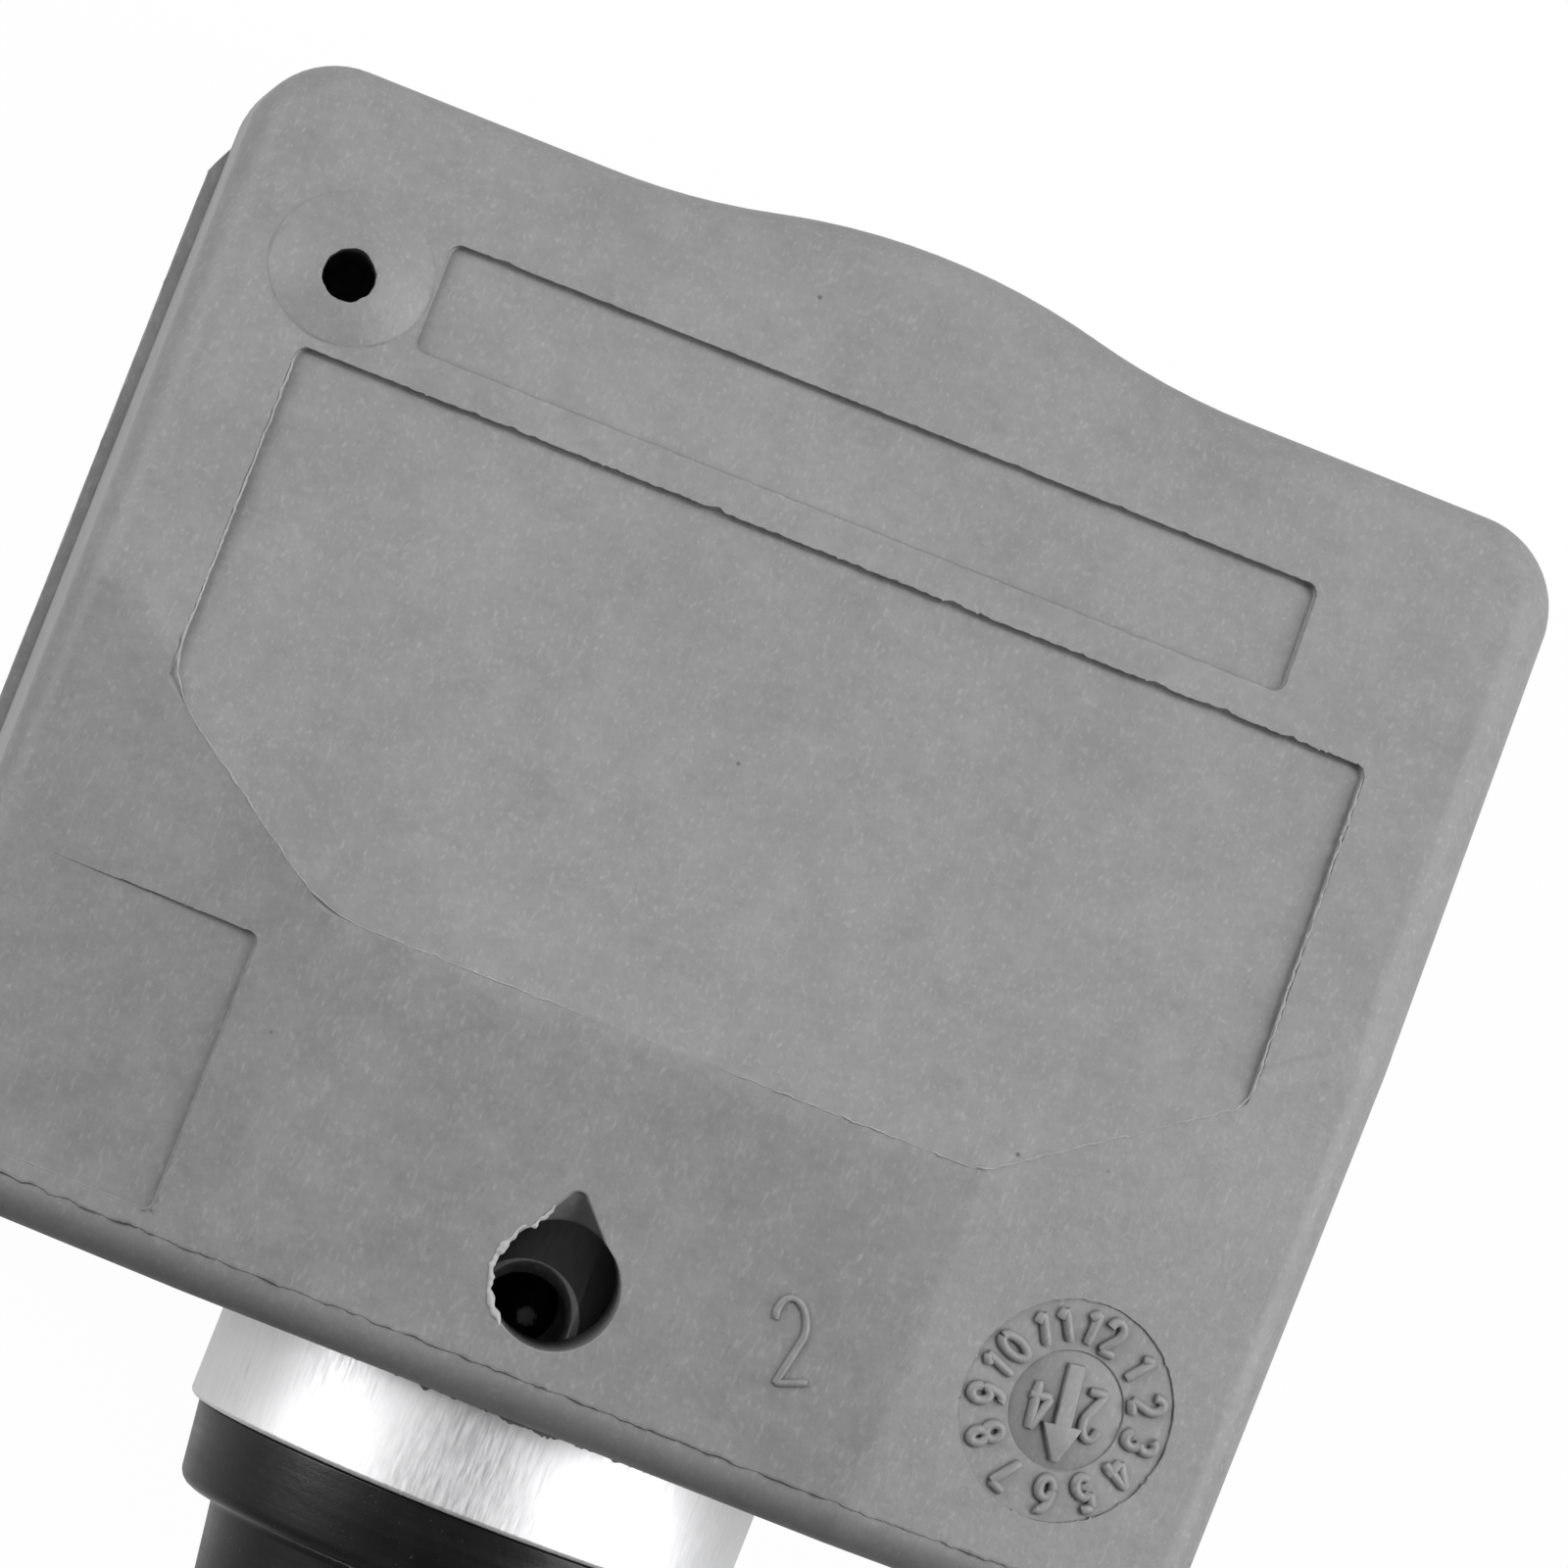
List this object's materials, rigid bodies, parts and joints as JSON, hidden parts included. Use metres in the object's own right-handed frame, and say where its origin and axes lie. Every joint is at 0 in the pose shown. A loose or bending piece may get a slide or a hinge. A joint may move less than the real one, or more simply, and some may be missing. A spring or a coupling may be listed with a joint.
{
  "type": "tyre pressure sensor",
  "caption": "Wedge-shaped tyre pressure sensor with a sealed moulded housing on a clamp-in valve stem, with rubber grommet, nut, valve core and screw cap.",
  "frame": {"origin": "point of the valve axis in the plane of the grommet's face that seals against the wheel rim", "axes": "-Y along the valve to its tip, +Y into the housing, +Z out of the label side, +X to the right"},
  "size_m": [0.04, 0.0809, 0.0185],
  "materials": {
    "housing_plastic": "matte grey glass-filled moulding",
    "stem_aluminium": "bright turned aluminium",
    "black_rubber": "smooth black rubber",
    "plated_steel": "nickel-plated, lightly brushed",
    "cap_plastic": "black moulded plastic",
    "core_brass": "turned brass",
    "spring_steel": "drawn wire",
    "board_laminate": "green solder mask",
    "cell_steel": "satin pressed steel",
    "tab_nickel": "bright nickel",
    "chip_epoxy": "moulded epoxy",
    "capacitor_ceramic": "fired ceramic",
    "coil_ferrite": "sintered ferrite",
    "coil_copper": "enamelled copper"
  },
  "bodies": {
    "sensor": {"housing": "housing_plastic", "back_cover": "housing_plastic", "valve_stem": "stem_aluminium", "rim_grommet": "black_rubber", "core_barrel": "core_brass", "core_seal": "black_rubber", "core_spring": "spring_steel", "circuit_board": "board_laminate", "coin_cell": "cell_steel", "cell_tab_upper": "tab_nickel", "cell_tab_lower": "tab_nickel", "sensor_chip": "chip_epoxy", "port_seal": "black_rubber", "transmitter_chip": "chip_epoxy", "crystal": "cell_steel", "chip_capacitors": "capacitor_ceramic", "wake_coil_core": "coil_ferrite", "wake_coil_winding": "coil_copper", "loop_antenna": "tab_nickel"},
    "nut_washer": {"nut_washer": "plated_steel"},
    "hex_nut": {"hex_nut": "plated_steel"},
    "cap_seal": {"cap_seal": "black_rubber"},
    "valve_cap": {"valve_cap": "cap_plastic"},
    "core_pin": {"core_pin": "core_brass", "core_cup": "core_brass"}
  },
  "joints": [
    {"name": "nut_travel", "type": "slide", "parent": "sensor", "child": "nut_washer", "axis": [0, -1, 0], "range_m": [0, 0.008]},
    {"name": "nut_turn", "type": "hinge", "parent": "nut_washer", "child": "hex_nut", "pos_m": [0, -0.013, 0], "axis": [0, -1, 0], "range_deg": [0, 2881]},
    {"name": "cap_lift", "type": "slide", "parent": "sensor", "child": "cap_seal", "axis": [0, -1, 0], "range_m": [0, 0.00556]},
    {"name": "cap_turn", "type": "hinge", "parent": "cap_seal", "child": "valve_cap", "pos_m": [0, -0.035, 0], "axis": [0, -1, 0], "range_deg": [0, 2521]},
    {"name": "core_press", "type": "slide", "parent": "sensor", "child": "core_pin", "axis": [0, 1, 0], "range_m": [0, 0.0013], "stiffness_N_per_m": 600, "springref_m": -0.001, "deforming": ["core_spring"]}
  ],
  "couplings": [
    {"joint": "nut_turn", "follows": "nut_travel", "rad_per_m": 6283.2},
    {"joint": "cap_turn", "follows": "cap_lift", "rad_per_m": 7915.8}
  ]
}
